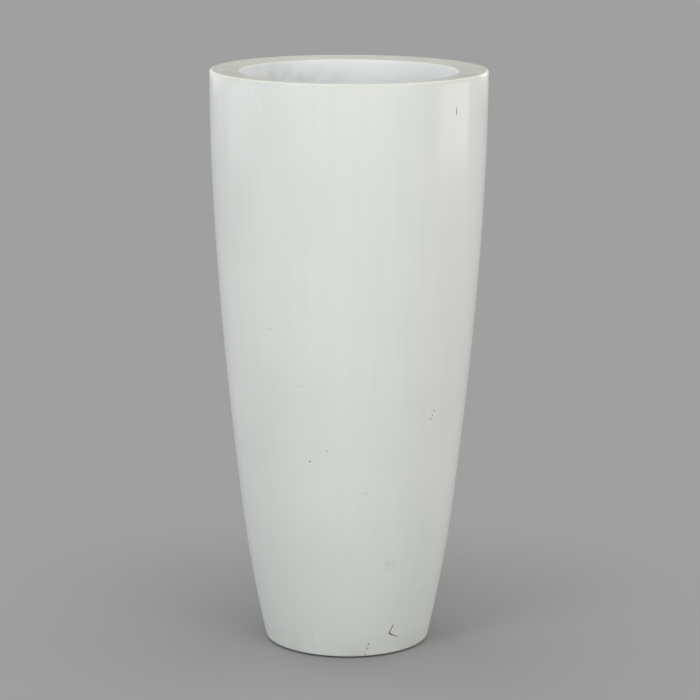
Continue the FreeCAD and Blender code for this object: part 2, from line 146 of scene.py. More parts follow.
floor_finish, tree, shader, place = new_finish("studio_floor")
cloud = add_node(tree, "ShaderNodeTexNoise", {"Vector": place, "Scale": 0.9, "Detail": 3})
tone = ramp(cloud.outputs[0], 0, 1, FLOOR_PAINT * 0.985, FLOOR_PAINT * 1.015, smooth=False)
paint = add_node(tree, "ShaderNodeCombineColor", {0: tone, 1: tone, 2: tone})
tree.links.new(paint.outputs[0], shader.inputs["Base Color"])
shader.inputs["Roughness"].default_value = 0.9
shader.inputs["Specular IOR Level"].default_value = 0.1
ray = add_node(tree, "ShaderNodeLightPath")
away = vector_maths(tree, "LENGTH", place)
far = ramp(away, 0.17, 0.9)
looked_at = maths(tree, "MULTIPLY", ray.outputs["Is Camera Ray"], far)
share = maths(tree, "MAXIMUM", looked_at, ray.outputs["Is Glossy Ray"])
even = add_node(tree, "ShaderNodeEmission", {"Color": EVEN_GREY, "Strength": 1.0})
either = add_node(tree, "ShaderNodeMixShader", {0: share, 1: shader.outputs[0], 2: even.outputs[0]})
tree.links.new(either.outputs[0], tree.nodes["Material Output"].inputs["Surface"])

floor_mesh = bpy.data.meshes.new("studio_floor")
corners = [(x * FLOOR_REACH, y * FLOOR_REACH, 0) for x, y in ((-1, -1), (1, -1), (1, 1), (-1, 1))]
floor_mesh.from_pydata(corners, [], [(0, 1, 2, 3)])
floor_mesh.materials.append(floor_finish)
floor = put("studio_floor", floor_mesh)
print("floor nodes:", len(tree.nodes))

# %% World
world = bpy.data.worlds.new("studio")
bpy.context.scene.world = world
world.use_nodes = True
tree = world.node_tree
tree.nodes.clear()
ray = add_node(tree, "ShaderNodeLightPath")
room = add_node(tree, "ShaderNodeBackground", {"Color": (1.0, 1.0, 0.98, 1), "Strength": 0.27})
seen = add_node(tree, "ShaderNodeBackground", {"Color": EVEN_GREY, "Strength": 1.0})
either = add_node(
    tree, "ShaderNodeMixShader", {0: ray.outputs["Is Camera Ray"], 1: room.outputs[0], 2: seen.outputs[0]}
)
add_node(tree, "ShaderNodeOutputWorld", {0: either.outputs[0]})
print("world nodes:", len(tree.nodes))

# %% Lamps
def softbox(name, place, aim, width, height, power, tint):
    """A broad soft lamp at a place, aimed at a spot. Sizes are in metres and power is in watts."""
    lamp = bpy.data.lights.new(name, "AREA")
    lamp.shape = "RECTANGLE"
    lamp.size, lamp.size_y = width, height
    lamp.energy = power
    lamp.color = tint
    holder = put(name, lamp)
    aimed = (Vector(aim) - Vector(place)).to_track_quat("-Z", "Y")
    holder.matrix_world = Matrix.Translation(place) @ aimed.to_matrix().to_4x4()


# Name, place, aim, width, height, power and tint.
LAMPS = [
    ("lamp_left", (-2.6, -3.0, 1.9), (0, 0, 0.7), 1.6, 2.0, 67, (0.97, 0.985, 1.0)),
    ("lamp_right", (2.4, -3.2, 1.9), (0, 0, 0.7), 2.6, 2.0, 60, (1.0, 0.986, 0.98)),
    ("lamp_front", (-0.3, -5.6, 2.6), (0, 0, 0.8), 2.4, 1.2, 25, (0.99, 0.99, 1.0)),
    ("lamp_side_left", (-3.2, 0.3, 1.3), (0, 0, 0.5), 2.2, 2.2, 11, (0.87, 0.96, 1.0)),
    ("lamp_side_right", (3.2, 0.3, 1.3), (0, 0, 0.5), 2.2, 2.2, 22, (1.0, 0.985, 0.945)),
    ("lamp_back_left", (-2.4, 2.8, 1.8), (0, 0, 0.6), 3.2, 2.6, 54, (1.0, 1.0, 1.0)),
    ("lamp_back_right", (2.4, 2.8, 1.8), (0, 0, 0.6), 3.2, 2.6, 38, (1.0, 1.0, 1.0)),
    ("lamp_top", (0.0, -0.6, 3.6), (0, 0, 0.6), 3.4, 3.0, 48, (1.0, 1.0, 1.0)),
]
for row in LAMPS:
    softbox(*row)
bpy.context.scene.view_settings.view_transform = "Standard"

# %% [markdown]
# ## Turning a section
# Most parts here are bodies of revolution, so their shape follows one rule: a section turned about the
# upright axis. Geometry Nodes do that as a lathe would. The section is a loop of edges, a circle is the
# path, and Curve to Mesh carries the one along the other. A section's corners get small rounds with a short
# flat either side, because light catches a real edge, and because smooth shading stays true only where the
# faces beside a round are narrow.

# %% Sections
NEARLY_STRAIGHT = math.radians(88)  # half the angle of a corner that needs no round
FLAT, FLAT_SHARE = 0.35, 0.3  # the flat beside a round: at most, in mm, and as a share of the round


def arc(centre, radius, start, finish, steps):
    """Points on an arc from one angle to another, in degrees."""
    turns = [math.radians(start + (finish - start) * step / steps) for step in range(steps + 1)]
    return [(centre[0] + radius * math.cos(turn), centre[1] + radius * math.sin(turn)) for turn in turns]


def softened(corners, steps=6, closed=True):
    """Rounds the corners of a section. A corner is (radius, height) or (radius, height, round)."""
    points = []
    count = len(corners)
    for index, corner in enumerate(corners):
        here = Vector(corner[:2])
        size = corner[2] if len(corner) > 2 else 0
        if not size or (not closed and index in (0, count - 1)):
            points.append(tuple(here))
            continue
        back = (Vector(corners[index - 1][:2]) - here).normalized()
        on = (Vector(corners[(index + 1) % count][:2]) - here).normalized()
        half = back.angle(on) / 2
        if half > NEARLY_STRAIGHT:
            points.append(tuple(here))
            continue
        run = size / math.tan(half)
        middle = here + (back + on).normalized() * (size / math.sin(half))
        start, finish = here + back * run, here + on * run
        flat = min(FLAT, size * FLAT_SHARE)
        points.append(tuple(start + back * flat))
        sweep = (start - middle).angle_signed(finish - middle)
        for step in range(steps + 1):
            spoke = start - middle
            spoke.rotate(Matrix.Rotation(-sweep * step / steps, 2))
            points.append(tuple(middle + spoke))
        points.append(tuple(finish + on * flat))
    return points


def divided(points, longest, closed=True):
    """Adds points so that no run of a section is longer than a given length."""
    out = []
    last = len(points) if closed else len(points) - 1
    for index in range(last):
        here, there = Vector(points[index]), Vector(points[(index + 1) % len(points)])
        parts = max(1, math.ceil((there - here).length / longest))
        out += [tuple(here.lerp(there, part / parts)) for part in range(parts)]
    return out if closed else out + [points[-1]]


# %% The lathe
def new_tree(name, inputs):
    """A Geometry Nodes tree with named inputs and one geometry output, and the identifiers of its inputs."""
    tree = bpy.data.node_groups.new(name, "GeometryNodeTree")
    tree.interface.new_socket("Geometry", in_out="OUTPUT", socket_type="NodeSocketGeometry")
    tree.interface.new_socket("Geometry", in_out="INPUT", socket_type="NodeSocketGeometry")
    known = {}
    for label, kind in inputs:
        socket = tree.interface.new_socket(label, in_out="INPUT", socket_type="NodeSocket" + kind)
        known[label] = socket.identifier
    return tree, add_node(tree, "NodeGroupInput").outputs, known


def end_tree(tree, geometry, finish):
    """Every tree ends the same way: instances made real, and the finish set."""
    real = add_node(tree, "GeometryNodeRealizeInstances", {0: geometry})
    painted = add_node(tree, "GeometryNodeSetMaterial", {"Geometry": real.outputs[0], "Material": finish})
    add_node(tree, "NodeGroupOutput", {0: painted.outputs[0]})


LATHE_CIRCLE = 1.0  # the path's radius, which the section's own radii are measured from

lathe, given, lathe_inputs = new_tree(
    "lathe",
    [
        ("Section", "Object"), ("Segments", "Int"), ("Wave", "Float"),
        ("Wave size", "Float"), ("Seed", "Float"), ("Finish", "Material"),
    ],
)
section = add_node(lathe, "GeometryNodeObjectInfo", {"Object": given["Section"]})
loop = add_node(lathe, "GeometryNodeMeshToCurve", {"Mesh": section.outputs["Geometry"]})
path = add_node(
    lathe, "GeometryNodeCurvePrimitiveCircle", {"Resolution": given["Segments"], "Radius": LATHE_CIRCLE}
)
turned = add_node(
    lathe, "GeometryNodeCurveToMesh", {"Curve": path.outputs[0], "Profile Curve": loop.outputs[0]}
)
welded = add_node(lathe, "GeometryNodeMergeByDistance", {"Geometry": turned.outputs[0], "Distance": 0.00001})
spot = add_node(lathe, "GeometryNodeInputPosition")
frequency = maths(lathe, "DIVIDE", 1.0, given["Wave size"])
swell = add_node(
    lathe,
    "ShaderNodeTexNoise",
    {"Vector": spot.outputs[0], "W": given["Seed"], "Scale": frequency, "Detail": 1.0},
    noise_dimensions="4D",
)
depth = maths(lathe, "MULTIPLY", swell.outputs[0], given["Wave"])
outward = add_node(lathe, "GeometryNodeInputNormal")
shift = vector_maths(lathe, "SCALE", outward.outputs[0], by=maths(lathe, "MULTIPLY", depth, -1.0))
waved = add_node(lathe, "GeometryNodeSetPosition", {"Geometry": welded.outputs[0], "Offset": shift})
end_tree(lathe, waved.outputs[0], given["Finish"])
print("lathe nodes:", len(lathe.nodes))


# %% From a tree to a plain mesh
WELD = 0.000002  # metres: points closer than this are one point


def run_tree(name, tree, inputs, values):
    """A new object whose plain mesh is what the tree makes."""
    piece = put(name, bpy.data.meshes.new(name))
    modifier = piece.modifiers.new(tree.name, "NODES")
    modifier.node_group = tree
    for label, value in values.items():
        modifier[inputs[label]] = value
    settle(piece)
    return piece


def settle(piece, sharp=35):
    """Makes an object's evaluated shape its own plain mesh, welded and smooth between sharp edges."""
    graph = bpy.context.evaluated_depsgraph_get()
    ready = piece.evaluated_get(graph)
    mesh = bpy.data.meshes.new_from_object(ready, preserve_all_data_layers=True, depsgraph=graph)
    if piece.type == "MESH":
        piece.modifiers.clear()
        piece.data = mesh
    made = bmesh.new()
    made.from_mesh(mesh)
    bmesh.ops.remove_doubles(made, verts=made.verts, dist=WELD)
    bmesh.ops.recalc_face_normals(made, faces=made.faces)
    made.to_mesh(mesh)
    made.free()
    mesh.shade_smooth()
    mesh.set_sharp_from_angle(angle=math.radians(sharp))
    return mesh


def as_edges(name, points, closed=True, lathe_plane=True):
    """A loop or line of edges, as a helper object that no scene holds. Sections are given in millimetres."""
    if lathe_plane:
        points = [(radius * MM - LATHE_CIRCLE, -height * MM, 0) for radius, height in points]
    count = len(points)
    edges = [(index, (index + 1) % count) for index in range(count if closed else count - 1)]
    mesh = bpy.data.meshes.new(name)
    mesh.from_pydata(points, edges, [])
    return bpy.data.objects.new(name, mesh)


def turn(name, points, finish, segments=96, wave=0.0, wave_size=0.1, seed=0.0, closed=True):
    """Turns a section, in millimetres, into a piece."""
    helper = as_edges(name + "_section", points, closed)
    values = {"Section": helper, "Segments": segments, "Wave": wave, "Wave size": wave_size}
    piece = run_tree(name, lathe, lathe_inputs, {**values, "Seed": seed, "Finish": finish})
    bpy.data.objects.remove(helper)
    return piece


def dress(piece, body, slot, *nodes):
    """Puts a finished piece on its body, in the place of CAD nodes."""
    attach(piece, body)
    if nodes:
        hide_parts(*nodes)
    size = sum(len(face.vertices) - 2 for face in piece.data.polygons)
    print(piece.name, size, "triangles, box", [round(v, 4) for v in piece.dimensions])


# %% [markdown]
# ## Shape of the wall
# The wall stands upright at the rim and leans in more and more towards the foot. It is a chain of arcs,
# each running on smoothly from the last, so five heights and five leans say all of it. One function gives
# the wall's radius and lean at any height, and the section, the marks of wear and the inner face all use
# it.

# %% The wall
HEIGHT, RIM_RADIUS, RIM_WIDTH, WALL = 1000, 236.5, 51.5, 5
JOINS = (990, 740, 460, 260, 3)
LEANS = (0, 3.21, 5.64, 6.65, 12.82)
JOIN_RADII = [RIM_RADIUS]
for high, low, first, second in zip(JOINS, JOINS[1:], LEANS, LEANS[1:]):
    JOIN_RADII.append(JOIN_RADII[-1] - (high - low) * math.tan(math.radians((first + second) / 2)))


def wall_at(height):
    """Outer radius of the wall, and its lean in degrees."""
    if height >= JOINS[0]:
        return RIM_RADIUS, 0
    number = next(n for n in range(len(JOINS) - 1) if height >= JOINS[n + 1] - 0.001)
    first, second = (math.sin(math.radians(lean)) for lean in LEANS[number : number + 2])
    bend = (JOINS[number] - JOINS[number + 1]) / (second - first)
    lean = math.asin(first + (JOINS[number] - height) / bend)
    radius = JOIN_RADII[number] - bend * (math.cos(math.asin(first)) - math.cos(lean))
    return radius, math.degrees(lean)


def wall_inside(height, inset):
    """The point that lies square behind the wall at a height."""
    radius, lean = wall_at(height)
    lean = math.radians(lean)
    return radius - inset * math.cos(lean), height + inset * math.sin(lean)


def wall_spot(angle, height, out=0):
    """The point on the wall, in metres, at an angle to the right of the front and a height in millimetres."""
    radius = (wall_at(height)[0] + out) * MM
    turned = math.radians(angle)
    return Vector((radius * math.sin(turned), -radius * math.cos(turned), height * MM))


print("foot radius", round(wall_at(JOINS[-1])[0], 1), "mm")

# %% [markdown]
# ## Gelcoat
# Gelcoat is a thick, hard polyester skin. It is never quite flat: it shows a faint orange peel, long
# upright waves from the mould's polishing, and small tone differences. Years of use leave nicks, pinholes,
# short scratches, smudges and a star crack near the foot. Some tones are painted light and shade: a painted
# reflection on the rim's top, painted shade on its rounded edges, the lower wall, the foot's edge and one
# spot inside the lip, and painted light on the lip. Broad noise drives tone and gloss, and each single mark
# is a stroke between two points on the wall, so that it stays in its place from every side.

# %% A stroke on a surface
def stroke_group():
    """A node group: how strongly a point lies on the stroke from Start to End."""
    group = bpy.data.node_groups.new("stroke", "ShaderNodeTree")
    for label in ("Start", "End"):
        group.interface.new_socket(label, in_out="INPUT", socket_type="NodeSocketVector")
    for label in ("Width", "Softness"):
        group.interface.new_socket(label, in_out="INPUT", socket_type="NodeSocketFloat")
    group.interface.new_socket("Place", in_out="INPUT", socket_type="NodeSocketVector")
    group.interface.new_socket("Mask", in_out="OUTPUT", socket_type="NodeSocketFloat")
    given = add_node(group, "NodeGroupInput").outputs
    run = vector_maths(group, "SUBTRACT", given["End"], given["Start"])
    away = vector_maths(group, "SUBTRACT", given["Place"], given["Start"])
    along = vector_maths(group, "DOT_PRODUCT", away, run)
    square = vector_maths(group, "DOT_PRODUCT", run, run)
    share = maths(group, "DIVIDE", along, square, use_clamp=True)
    part = vector_maths(group, "SCALE", run, by=share)
    nearest = vector_maths(group, "ADD", given["Start"], part)
    gap = vector_maths(group, "DISTANCE", given["Place"], nearest)
    rim = maths(group, "ADD", given["Width"], given["Softness"])
    mask = add_node(
        group,
        "ShaderNodeMapRange",
        {"Value": gap, "From Min": given["Width"], "From Max": rim, "To Min": 1, "To Max": 0},
        interpolation_type="SMOOTHSTEP",
    )
    add_node(group, "NodeGroupOutput", {0: mask.outputs[0]})
    return group


STROKE = stroke_group()
SHORTEST_STROKE = 0.0002  # metres
print("stroke nodes:", len(STROKE.nodes))


def strokes(tree, place, marks):
    """The strongest of several strokes at each point. A mark is two spots, a width and a softness."""
    strongest = None
    for first, second, width, softness in marks:
        start, end = wall_spot(*first), wall_spot(*second)
        if (end - start).length < SHORTEST_STROKE:
            end = start + Vector((0, 0, SHORTEST_STROKE))
        mark = add_node(tree, "ShaderNodeGroup", node_tree=STROKE)
        mark.inputs["Start"].default_value, mark.inputs["End"].default_value = start, end
        mark.inputs["Width"].default_value, mark.inputs["Softness"].default_value = width * MM, softness * MM
        tree.links.new(place, mark.inputs["Place"])
        if strongest is None:
            strongest = mark.outputs[0]
        else:
            strongest = maths(tree, "MAXIMUM", strongest, mark.outputs[0])
    return strongest


# %% Marks of wear
# Each row: start (angle from the front, height), end, half width and softness, in degrees and millimetres.
DEEP_MARKS = [
    ((48.3, 953), (48.5, 942), 0.5, 0.5),  # nick high on the right
    ((43, 426.2), (43.1, 425.8), 0.8, 0.5),  # three pinholes in a row
    ((44, 431.7), (44.1, 431.3), 0.7, 0.5),
    ((44.9, 439.5), (45, 439), 0.8, 0.5),
    ((-18.7, 360.6), (-18.5, 360.3), 0.8, 0.5),
    ((-10.1, 380.7), (-9.9, 380.7), 0.5, 0.5),
    ((31.3, 57.3), (28.9, 42.3), 0.5, 0.5),  # the crack near the foot, two arms and their corner
    ((28.8, 42.5), (31.5, 37.8), 0.9, 0.5),
    ((31.5, 37.8), (35.9, 33.2), 0.35, 0.6),
    ((14.8, 26.4), (14.7, 26), 0.8, 0.5),
    ((14.1, 17.2), (14, 16.9), 0.7, 0.5),
    ((13.3, 5.9), (13.2, 5.6), 0.7, 0.5),
]
FAINT_MARKS = [
    ((8.2, 306.8), (10, 306.2), 0.3, 0.5),
    ((49.5, 110.5), (54, 111.3), 0.3, 0.6),
    ((-22.6, 491.4), (-20.8, 492), 0.3, 0.5),
    ((-19.8, 552), (-18.6, 552.5), 0.3, 0.5),
    ((-37.6, 585.2), (-35.6, 584.4), 0.3, 0.6),
    ((50.5, 105), (54.5, 104.6), 0.2, 0.6),
    ((14.6, 25), (12.2, 3.5), 0.1, 0.5),
    ((118, 702), (119.1, 688), 0.3, 0.5),
    ((131, 240), (133.5, 243), 0.3, 0.5),
    ((-96, 318), (-94, 319.5), 0.3, 0.5),
    ((-141, 530), (-139.8, 516), 0.3, 0.6),
    ((176, 130), (178.5, 131), 0.3, 0.6),
]
PALE_MARKS = [
    ((-20.6, 47), (-19.9, 38), 0.8, 3),
    ((-19.9, 38), (-18.4, 28), 0.4, 4),
    ((-43.5, 985), (-41.9, 974), 0.2, 6),
    ((-39, 969), (-37.4, 955), 0.2, 6),
    ((96, 60), (97, 22), 0.8, 3),
    ((-150, 930), (-148.5, 880), 1, 4),
]
# Short runs of the rim's edges that are still polished.
POLISHED_RUNS = [
    ((15.5, 998), (23.5, 998), 4, 2),
    ((-31, 998), (-22.5, 998), 2, 2),
    ((191.5, 995, -51), (204, 995, -51), 3, 2),
    ((154, 995, -51), (166, 995, -51), 2, 2),
    ((70, 998), (78, 998), 3, 2),
    ((236, 998), (250, 998), 3, 2),
]
# Soft grubby places, and one painted shadow: a third number is how far the spot lies outside the wall.
SOILED_AND_SHADED_PLACES = [
    ((24, 172), (25.8, 171), 2, 12),
    # Painted shade: the lip's inner face on the far left, darker where less light reaches it.
    ((-168, 944, -52), (-130, 957, -52), 6, 48),
    ((88, 300), (92, 330), 4, 22),
    ((-170, 600), (-166, 560), 2, 34),
]
print("marks:", len(DEEP_MARKS), "deep,", len(FAINT_MARKS), "faint,", len(PALE_MARKS), "pale")

# %% Short ways to make patterns
gelcoat, tree, shader, place = new_finish("white_gelcoat")


def noise(scale, detail=2.0, stretch=(1, 1, 1), roughness=0.5, turned=(0, 0, 0)):
    """Noise on object coordinates. A stretch under 1 draws the pattern out along that axis."""
    mapped = add_node(tree, "ShaderNodeMapping", {"Vector": place, "Scale": stretch, "Rotation": turned})
    return add_node(
        tree,
        "ShaderNodeTexNoise",
        {"Vector": mapped.outputs[0], "Scale": scale, "Detail": detail, "Roughness": roughness},
    ).outputs[0]


def blend(factor, first, second):
    """Mixes two colours, each a socket or three numbers."""
    mixer = add_node(tree, "ShaderNodeMix", data_type="RGBA")
    for socket, value in ((0, factor), (6, first), (7, second)):
        if isinstance(value, bpy.types.NodeSocket):
            tree.links.new(value, mixer.inputs[socket])
        else:
            mixer.inputs[socket].default_value = value if socket == 0 else (*value, 1)
    return mixer.outputs[2]


def times(first, second):
    return maths(tree, "MULTIPLY", first, second)


def sums(first, second, how="ADD"):
    """A sum, or another operation, of two values in the finish being made."""
    return maths(tree, how, first, second)


# %% Gelcoat: patterns
height = add_node(tree, "ShaderNodeSeparateXYZ", {0: place}).outputs["Z"]
radius = vector_maths(tree, "LENGTH", vector_maths(tree, "MULTIPLY", place, (1, 1, 0)))
broad = noise(3.2, 2)
upright = noise(16, 2, (1, 1, 0.06))
streaks = noise(75, 2, (1, 1, 0.03))
cloudy = noise(14, 4)
fine = noise(420, 2)
print("pattern nodes:", len(tree.nodes))

# %% Gelcoat: where wear, edges and painted light and shade lie
deep = strokes(tree, place, DEEP_MARKS)
faint = strokes(tree, place, FAINT_MARKS)
pale = strokes(tree, place, PALE_MARKS)
foot_dirt = times(ramp(height, 0.004, 0.045, 1, 0), ramp(cloudy, 0.42, 0.62))
# Painted shade: the lowest two millimetres of the wall darkened, as the shadow gap under the foot.
foot_edge_painted_shade = ramp(height, 0.0036, 0.0052, 1, 0)
soiled_and_shaded = strokes(tree, place, SOILED_AND_SHADED_PLACES)
polished = strokes(tree, place, POLISHED_RUNS)
# Painted reflection: the rim's flat top, toned darker and yellower as if it mirrored darker surroundings.
rim_top_painted_reflection = ramp(height, 0.9950, 0.9968)
outer_edge = times(ramp(radius, 0.2315, 0.2335), ramp(height, 0.9940, 0.9960))
inner_edge = times(ramp(radius, 0.1862, 0.1885, 1, 0), ramp(height, 0.9915, 0.9935))
# The rim's rounded edges: their darker tone is painted shade, and their duller gloss is wear.
worn_and_shaded_edge = sums(outer_edge, inner_edge, "MAXIMUM")
# The lip's inner face, which is given painted light: a whiter, bluer tone.
lip = times(ramp(radius, 0.1852, 0.1866, 1, 0), ramp(height, 0.9930, 0.9950, 1, 0))
lip = times(lip, ramp(height, 0.9250, 0.9300))
print("with its masks:", len(tree.nodes))

# %% Gelcoat: colour
# Each line lays one tone over those before it: how strongly, and then the tone.
colour = blend(ramp(broad, 0.35, 0.65), (0.728, 0.752, 0.722), (0.768, 0.784, 0.752))
colour = blend(times(ramp(upright, 0.4, 0.7), 0.25), colour, (0.79, 0.80, 0.775))
colour = blend(times(ramp(streaks, 0.48, 0.66), 0.12), colour, (0.66, 0.68, 0.63))
# Painted shade: the lower third of the wall darker and bluer towards the foot.
colour = blend(ramp(height, 0.02, 0.34, 0.36, 0), colour, (0.57, 0.615, 0.58))
grubby_and_shaded = times(soiled_and_shaded, ramp(noise(45, 4), 0.3, 0.7))
for mask, strength, tone in (
    # Painted reflection: the rim's flat top darker and yellower.
    (rim_top_painted_reflection, 0.75, (0.675, 0.685, 0.600)),
    # Painted shade: the rim's rounded edges darker, which tones down their highlights.
    (worn_and_shaded_edge, 0.6, (0.60, 0.615, 0.555)),
    # Painted light: the lip's inner face whiter and bluer.
    (lip, 0.85, (0.855, 0.885, 0.88)),
    # Grubby smudges on the wall, and the painted shadow inside the lip.
    (grubby_and_shaded, 0.3, (0.36, 0.40, 0.34)),
    (foot_dirt, 0.22, (0.42, 0.42, 0.38)),
    # Painted shade: the foot's lowest edge darkened.
    (foot_edge_painted_shade, 0.5, (0.20, 0.20, 0.18)),
    (pale, 0.24, (0.88, 0.90, 0.88)),
    (faint, 0.55, (0.30, 0.31, 0.29)),
    (deep, 0.92, (0.045, 0.043, 0.040)),
):
    colour = blend(times(mask, strength), colour, tone)
tree.links.new(colour, shader.inputs["Base Color"])
print("with its colour:", len(tree.nodes))

# %% Gelcoat: gloss and relief
gloss = ramp(cloudy, 0.3, 0.75, 0.13, 0.21)
dulled = times(worn_and_shaded_edge, sums(1.0, polished, "SUBTRACT"))
gloss = sums(gloss, times(dulled, ramp(noise(30, 3), 0.35, 0.6, 0.34, 0.48)))
gloss = sums(gloss, times(foot_dirt, 0.18))
gloss = sums(gloss, times(sums(deep, faint, "MAXIMUM"), 0.4))
tree.links.new(gloss, shader.inputs["Roughness"])
shader.inputs["IOR"].default_value = 1.5

surface = None
for pattern, strength, depth in (
    (fine, 0.03, 0.0004),
    (noise(26, 1, (1, 1, 0.05)), 0.25, 0.0012),
    (streaks, 0.14, 0.0006),
):
    bump = add_node(tree, "ShaderNodeBump", {"Height": pattern, "Strength": strength, "Distance": depth})
    if surface:
        tree.links.new(surface, bump.inputs["Normal"])
    surface = bump.outputs[0]
cuts = add_node(
    tree,
    "ShaderNodeBump",
    {"Height": deep, "Strength": 0.9, "Distance": 0.0006, "Normal": surface},
    invert=True,
)
tree.links.new(cuts.outputs[0], shader.inputs["Normal"])
print("gelcoat nodes:", len(tree.nodes))

# %% [markdown]
# ## Raw laminate
# Behind the gelcoat the shell is bare polyester and glass mat: a dull, greenish, half clear surface with
# the mat's short fibres lying every way. Stretched noise turned in several directions gives the fibres, and
# a coarse bump the lay-up.

# %% How a plain finish ends, and the mat's fibres
FIBRE_TURNS = ((0.3, 0.2, 0.5), (1.1, 0.7, 1.9), (2.0, 1.5, 0.2), (0.8, 2.3, 2.6))


def complete(colour, roughness, pattern, strength, depth):
    """Joins a finish's colour, roughness and relief to its shader."""
    tree.links.new(colour, shader.inputs["Base Color"])
    tree.links.new(roughness, shader.inputs["Roughness"])
    relief = add_node(tree, "ShaderNodeBump", {"Height": pattern, "Strength": strength, "Distance": depth})
    tree.links.new(relief.outputs[0], shader.inputs["Normal"])
    print("nodes of the finish:", len(tree.nodes))


def mat_fibres(scale, width, from_value, turns):
    """Short fibres lying every way: stretched noise, turned in several directions."""
    strongest = None
    for turned in turns:
        strand = ramp(noise(scale, 1, (1, width, width), 0.5, turned), from_value, 0.66)
        strongest = strand if strongest is None else sums(strongest, strand, "MAXIMUM")
    return strongest


# %% Raw laminate
laminate, tree, shader, place = new_finish("raw_laminate")
fibres = mat_fibres(170, 0.07, 0.56, FIBRE_TURNS)
patches = noise(18, 3)
colour = blend(ramp(patches, 0.3, 0.7), (0.46, 0.48, 0.40), (0.58, 0.59, 0.50))
colour = blend(times(fibres, 0.4), colour, (0.74, 0.75, 0.68))
complete(colour, ramp(patches, 0.3, 0.7, 0.35, 0.6), sums(fibres, patches), 0.6, 0.0008)

# %% [markdown]
# ## The shell
# The section goes up the outside, in over the flat rim, down the lip and back along the inside, so that the
# wall has its real thickness and the shape is closed. The rim falls a little towards the opening. The lathe
# presses the surface in by up to a tenth of a millimetre in slow waves, as hand lay-up does. The faces
# behind the gelcoat get the laminate.

# %% Section of the shell
RIM_FALL, LIP_DEPTH, LIP_DRAFT, CORNER_CUT, FOOT = 3.7, 62, 1, 3, 3
RIM_INNER = RIM_RADIUS - RIM_WIDTH
LIP_FACE = RIM_INNER - LIP_DRAFT
LIP_BOTTOM = HEIGHT - RIM_FALL - LIP_DEPTH


def rim_top(radius):
    """The height of the rim's upper face."""
    return HEIGHT - RIM_FALL * (RIM_RADIUS - radius) / RIM_WIDTH


WALL_STEPS = 92
rising = [FOOT + (JOINS[0] - FOOT) * step / WALL_STEPS for step in range(1, WALL_STEPS + 1)]
lip_back, inside = RIM_INNER + WALL, RIM_RADIUS - WALL
shell_section = softened(
    [
        (wall_at(FOOT)[0], FOOT, 0.9),
        *[(wall_at(height)[0], height) for height in rising],
        (RIM_RADIUS, HEIGHT, 4.5),
        (RIM_INNER, rim_top(RIM_INNER), 3),
        (LIP_FACE, LIP_BOTTOM, 0.8),
        (LIP_FACE + WALL, LIP_BOTTOM, 0.8),
        (lip_back, rim_top(lip_back) - WALL - CORNER_CUT),
        (lip_back + CORNER_CUT, rim_top(lip_back + CORNER_CUT) - WALL),
        (inside - CORNER_CUT, rim_top(inside - CORNER_CUT) - WALL),
        (inside, rim_top(inside) - WALL - CORNER_CUT),
        *[wall_inside(height, WALL) for height in reversed(rising[::2])],
        (wall_at(FOOT)[0] - WALL / math.cos(math.radians(LEANS[-1])), FOOT),
    ],
    steps=8,
)
shell_section = divided(shell_section, 12)
print("section:", len(shell_section), "points")

# %% Turn the shell
behind = WALL / 2
shell = turn("planter_shell", shell_section, gelcoat, segments=224, wave=0.0001, wave_size=0.16, seed=4.0)
shell.data.materials.append(laminate)
raw = 0
for face in shell.data.polygons:
    radius = math.hypot(face.center.x, face.center.y) / MM
    height = face.center.z / MM
    outside = radius > wall_at(max(height, FOOT))[0] - behind and height < HEIGHT - 1
    on_lip = radius < LIP_FACE + behind and height > LIP_BOTTOM + 0.4
    if not (outside or on_lip or height > rim_top(radius) - 3):
        face.material_index = 1
        raw += 1
dress(shell, "planter_body", "white_gelcoat", "outer_shell")
print("faces behind the gelcoat:", raw)

# %% [markdown]
# ## Black moulded plastic
# The insert and its plate are moulded in polypropylene. Its skin is satin with a fine even grain, and soil
# and lifting leave grey scuffs on the edges that stand out. Fine noise gives the grain, and broader noise
# the scuffs and dust.

# %% Insert plastic
insert_plastic, tree, shader, place = new_finish("insert_plastic")
height = add_node(tree, "ShaderNodeSeparateXYZ", {0: place}).outputs["Z"]
cloud, streak = noise(12, 4), noise(60, 3, (1, 1, 0.12))
scuff = times(ramp(streak, 0.55, 0.72), ramp(cloud, 0.4, 0.6))
colour = blend(ramp(cloud, 0.3, 0.7), (0.024, 0.025, 0.026), (0.036, 0.037, 0.038))
colour = blend(times(scuff, 0.5), colour, (0.10, 0.10, 0.095))
dust = times(ramp(height, 0.70, 0.61, 0, 0.4), ramp(noise(35, 5), 0.45, 0.7))
colour = blend(dust, colour, (0.16, 0.13, 0.10))
roughness = sums(ramp(cloud, 0.3, 0.7, 0.36, 0.5), times(scuff, 0.2))
complete(colour, roughness, noise(1500, 1), 0.25, 0.0002)

# %% [markdown]
# ## Pot of the insert
# The pot tapers, ends below in a ledge that carries the drain plate, and hangs by its flange on the ring
# under the lip. It is the same lathe with another section. Mouldings have small rounds on every edge, so
# each corner gets one.

# %% The pot
INSERT_DEPTH, INSERT_WALL, INSERT_TAPER, CORNER = 322, 2.5, 26, 9
FLANGE_OUTER, INSERT_OUTER = LIP_FACE - 2, 166
INSERT_FLOOR = LIP_BOTTOM - INSERT_DEPTH
FLANGE_TOP = LIP_BOTTOM + INSERT_WALL
INSERT_BASE = INSERT_OUTER - INSERT_TAPER
LEDGE_INNER = INSERT_BASE - 24
FLANGE_RISE = 7


def insert_wall_at(height):
    """Outer radius of the pot."""
    return INSERT_OUTER - INSERT_TAPER * (LIP_BOTTOM - height) / INSERT_DEPTH


